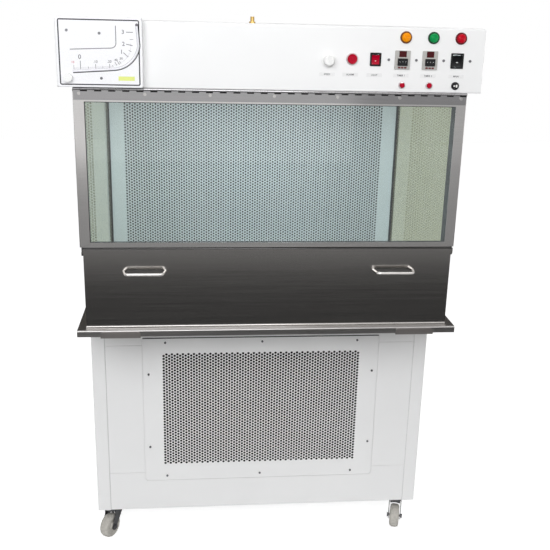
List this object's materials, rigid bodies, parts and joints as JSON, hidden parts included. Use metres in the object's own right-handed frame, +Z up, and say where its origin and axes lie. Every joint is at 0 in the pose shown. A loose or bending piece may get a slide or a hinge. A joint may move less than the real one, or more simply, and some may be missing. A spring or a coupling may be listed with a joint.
{
  "type": "laminar flow hood",
  "caption": "Horizontal laminar flow clean bench on casters: header with controls and manometer, hinged window, lift-off front panel, glass sides, perforated intake and diffuser.",
  "frame": {"origin": "on the floor under the middle of the bench", "axes": "+X to the user's right, +Y from the user to the back of the bench, +Z up"},
  "size_m": [1.07, 0.92, 1.606],
  "materials": {
    "enamel": "stove enamel, satin",
    "stainless": "brushed along its length",
    "screw_steel": "plated, satin",
    "prefilter_fabric": "matte fibre",
    "galvanised": "galvanised, dull",
    "motor_paint": "semi-gloss",
    "clear_glass": "clear, polished",
    "seal_rubber": "matte",
    "filter_aluminium": "mill finish",
    "filter_fabric": "matte paper",
    "tube_glass": "clear, polished",
    "lamp_plastic": "moulded, glossy",
    "bezel_plastic": "moulded, satin",
    "red_plastic": "moulded, glossy",
    "timer_plastic": "moulded, matte",
    "key_chrome": "polished",
    "knob_plastic": "moulded, glossy",
    "manometer_plastic": "moulded, glossy",
    "spigot_brass": "turned",
    "hinge_steel": "rolled, polished",
    "handle_steel": "plated, polished",
    "caster_zinc": "zinc plated",
    "wheel_rubber": "moulded, grey, matte"
  },
  "bodies": {
    "bench": {"base_pan": "enamel", "blower_housing": "galvanised", "brass_spigot": "spigot_brass", "cabinet_back_panel": "enamel", "cabinet_bottom_rail": "enamel", "cabinet_side_left": "enamel", "cabinet_side_right": "enamel", "cabinet_top_rail": "enamel", "casing_screws": "screw_steel", "caster_plates": "caster_zinc", "chamber_ceiling": "enamel", "chamber_seals": "seal_rubber", "control_bezels": "bezel_plastic", "diffuser_plate": "enamel", "filter_frame": "filter_aluminium", "filter_pack": "filter_fabric", "front_frame": "enamel", "header_cover": "enamel", "header_fascia": "enamel", "header_hinge_leaf": "hinge_steel", "hinge_pin": "hinge_steel", "infill_panels": "enamel", "intake_frame": "enamel", "intake_panel": "enamel", "light_fitting": "enamel", "light_tube": "tube_glass", "manometer_body": "manometer_plastic", "manometer_tube": "tube_glass", "motor": "motor_paint", "pilot_lamps": "lamp_plastic", "plenum_back_panel": "enamel", "plenum_shell": "enamel", "prefilter": "prefilter_fabric", "side_glass": "clear_glass", "timers": "timer_plastic", "worktop": "stainless", "worktop_brackets": "stainless"},
    "window": {"window_frame": "stainless", "window_glass": "clear_glass", "window_hinge_leaf": "hinge_steel", "hinge_screws": "screw_steel"},
    "front_panel": {"front_panel": "stainless", "panel_handles": "handle_steel"},
    "speed_knob": {"speed_knob": "knob_plastic"},
    "alarm_button": {"alarm_button": "red_plastic"},
    "light_rocker": {"light_rocker": "red_plastic"},
    "main_rocker": {"main_rocker": "bezel_plastic"},
    "reset_button_left": {"reset_button_left": "red_plastic"},
    "reset_button_right": {"reset_button_right": "red_plastic"},
    "key_plug": {"key_plug": "key_chrome"},
    "manometer_knob": {"manometer_knob": "knob_plastic"},
    "impeller": {"blower_wheel": "galvanised"},
    "caster_front_left": {"caster_fork_front_left": "caster_zinc"},
    "wheel_front_left": {"caster_wheel_front_left": "wheel_rubber"},
    "caster_front_right": {"caster_fork_front_right": "caster_zinc"},
    "wheel_front_right": {"caster_wheel_front_right": "wheel_rubber"},
    "caster_back_left": {"caster_fork_back_left": "caster_zinc"},
    "wheel_back_left": {"caster_wheel_back_left": "wheel_rubber"},
    "caster_back_right": {"caster_fork_back_right": "caster_zinc"},
    "wheel_back_right": {"caster_wheel_back_right": "wheel_rubber"}
  },
  "joints": [
    {"name": "window_hinge", "type": "hinge", "parent": "bench", "child": "window", "pos_m": [0, -0.4195, 1.427], "axis": [-1, 0, 0], "range_deg": [0, 90]},
    {"name": "panel_lift", "type": "slide", "parent": "bench", "child": "front_panel", "axis": [0, 0, 1], "range_m": [0, 0.25]},
    {"name": "speed_knob_turn", "type": "hinge", "parent": "bench", "child": "speed_knob", "pos_m": [0.134, -0.416, 1.506], "axis": [0, 1, 0], "range_deg": [-150, 150]},
    {"name": "alarm_press", "type": "slide", "parent": "bench", "child": "alarm_button", "axis": [0, 1, 0], "range_m": [0, 0.004], "stiffness_N_per_m": 400},
    {"name": "light_rock", "type": "hinge", "parent": "bench", "child": "light_rocker", "pos_m": [0.254, -0.415, 1.51], "axis": [1, 0, 0], "range_deg": [-16, 0]},
    {"name": "main_rock", "type": "hinge", "parent": "bench", "child": "main_rocker", "pos_m": [0.465, -0.415, 1.51], "axis": [1, 0, 0], "range_deg": [-16, 0]},
    {"name": "reset_press_left", "type": "slide", "parent": "bench", "child": "reset_button_left", "axis": [0, 1, 0], "range_m": [0, 0.003], "stiffness_N_per_m": 400},
    {"name": "reset_press_right", "type": "slide", "parent": "bench", "child": "reset_button_right", "axis": [0, 1, 0], "range_m": [0, 0.003], "stiffness_N_per_m": 400},
    {"name": "key_turn", "type": "hinge", "parent": "bench", "child": "key_plug", "pos_m": [0.465, -0.416, 1.448], "axis": [0, 1, 0], "range_deg": [0, 90]},
    {"name": "manometer_knob_turn", "type": "hinge", "parent": "bench", "child": "manometer_knob", "pos_m": [-0.504, -0.442, 1.455], "axis": [0, 1, 0], "range_deg": [-180, 180]},
    {"name": "impeller_spin", "type": "hinge", "parent": "bench", "child": "impeller", "pos_m": [0, 0.23, 0.4], "axis": [1, 0, 0], "continuous": true},
    {"name": "swivel_front_left", "type": "hinge", "parent": "bench", "child": "caster_front_left", "pos_m": [-0.462, -0.167, 0.09], "axis": [0, 0, 1], "continuous": true},
    {"name": "roll_front_left", "type": "hinge", "parent": "caster_front_left", "child": "wheel_front_left", "pos_m": [-0.47745, -0.19271, 0.0375], "axis": [0.8572, -0.515, 0], "continuous": true},
    {"name": "swivel_front_right", "type": "hinge", "parent": "bench", "child": "caster_front_right", "pos_m": [0.462, -0.167, 0.09], "axis": [0, 0, 1], "continuous": true},
    {"name": "roll_front_right", "type": "hinge", "parent": "caster_front_right", "child": "wheel_front_right", "pos_m": [0.45373, -0.19584, 0.0375], "axis": [0.9613, -0.2756, 0], "continuous": true},
    {"name": "swivel_back_left", "type": "hinge", "parent": "bench", "child": "caster_back_left", "pos_m": [-0.462, 0.385, 0.09], "axis": [0, 0, 1], "continuous": true},
    {"name": "roll_back_left", "type": "hinge", "parent": "caster_back_left", "child": "wheel_back_left", "pos_m": [-0.46976, 0.41398, 0.0375], "axis": [-0.9659, -0.2588, 0], "continuous": true},
    {"name": "swivel_back_right", "type": "hinge", "parent": "bench", "child": "caster_back_right", "pos_m": [0.462, 0.385, 0.09], "axis": [0, 0, 1], "continuous": true},
    {"name": "roll_back_right", "type": "hinge", "parent": "caster_back_right", "child": "wheel_back_right", "pos_m": [0.46824, 0.41434, 0.0375], "axis": [-0.9781, 0.2079, 0], "continuous": true}
  ]
}
